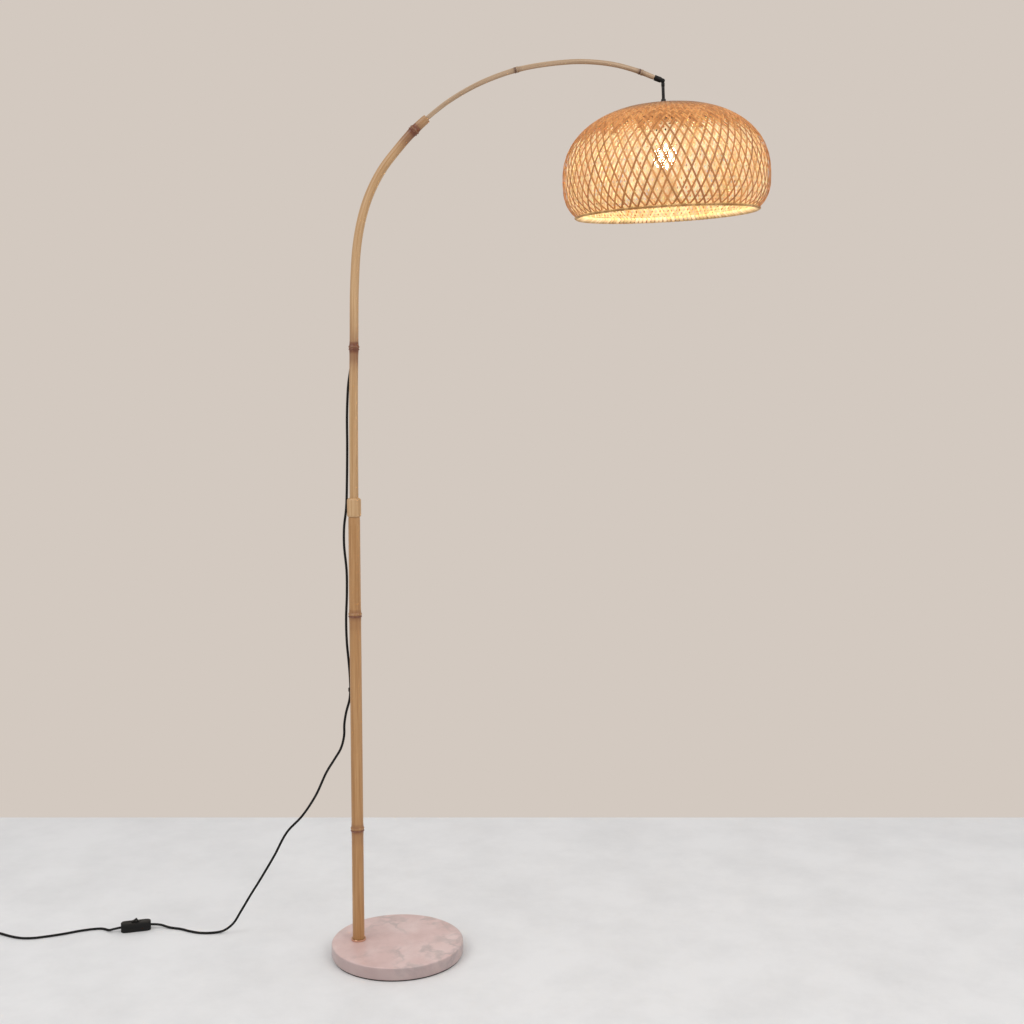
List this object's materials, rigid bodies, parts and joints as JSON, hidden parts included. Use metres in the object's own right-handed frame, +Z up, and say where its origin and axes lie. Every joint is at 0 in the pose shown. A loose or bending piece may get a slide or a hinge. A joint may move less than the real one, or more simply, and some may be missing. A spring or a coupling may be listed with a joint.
{
  "type": "floor lamp",
  "caption": "Arc floor lamp: a round stone foot, an upright pole that bends into a thin arm, and a tilting double woven basket shade hung from the arm, with a corded switch.",
  "frame": {"origin": "centre of the round foot's underside, on the floor", "axes": "+X from the pole toward the shade, in the plane of the arc; +Y across that plane, away from the picture's viewer; +Z up"},
  "size_m": [1.6478, 0.3918, 1.7319],
  "materials": {
    "marble": "polished dusty pink marble with grey veins",
    "pad": "dark felt",
    "steel": "bright zinc",
    "copper_ring": "polished copper colour",
    "bamboo": "satin natural bamboo with scorched nodes",
    "bamboo_collar": "satin bamboo",
    "black_rubber": "matte black flex",
    "black_plastic": "matte black",
    "black_metal": "satin black",
    "ceramic": "glazed off-white",
    "brass": "plain brass",
    "bulb_glass": "frosted, warm when lit",
    "filament": "glowing warm white",
    "outer_weave": "split bamboo strips, satin",
    "inner_weave": "finer split bamboo strips, satin",
    "shade_binding": "bound bamboo splints, satin"
  },
  "bodies": {
    "stand": {"marble_base": "marble", "base_pad": "pad", "stud_washer": "steel", "stud_nut": "steel", "base_stud": "steel", "foot_insert": "steel", "coupling_tube": "steel", "switch_screw_1": "steel", "switch_screw_2": "steel", "rocker_pin": "steel", "foot_ring": "copper_ring", "lower_pole": "bamboo", "middle_pole": "bamboo", "arm_pole": "bamboo", "coupling_collar": "bamboo_collar", "arm_lead": "black_rubber", "supply_cord": "black_rubber", "cord_coil": "black_rubber", "plug_lead": "black_rubber", "plug_relief": "black_rubber", "arm_end_sleeve": "black_plastic", "cord_clip": "black_plastic", "switch_upper_shell": "black_plastic", "switch_lower_shell": "black_plastic", "coil_tie": "black_plastic", "plug_body": "black_plastic", "tilt_pin": "black_metal", "clip_nail": "black_metal", "switch_terminal_1": "brass", "switch_terminal_2": "brass", "plug_pin_1": "brass", "plug_pin_2": "brass"},
    "shade_head": {"tilt_knuckle": "black_metal", "drop_tube": "black_metal", "drop_wires": "black_rubber", "crown_grommet": "black_rubber", "crown_plate": "black_metal", "drop_nut": "black_metal", "lampholder_cap": "black_plastic", "lampholder_body": "black_plastic", "lampholder_insert": "ceramic", "centre_contact": "brass", "bulb_cap": "brass", "bulb_glass": "bulb_glass", "bulb_stem": "bulb_glass", "bulb_filaments": "filament", "shade_outer_weave": "outer_weave", "shade_inner_weave": "inner_weave", "shade_rim": "shade_binding"},
    "rocker": {"switch_rocker": "black_plastic"}
  },
  "joints": [
    {"name": "shade_tilt", "type": "hinge", "parent": "stand", "child": "shade_head", "pos_m": [0.5098, 0, 1.69157], "axis": [0.0189, 0.9985, 0.0507], "range_deg": [-30, 30]},
    {"name": "switch_rocker", "type": "hinge", "parent": "stand", "child": "rocker", "pos_m": [-0.5525, 0.112, 0.0165], "axis": [-0.2823, 0.9593, 0], "range_deg": [-16, 0]}
  ]
}
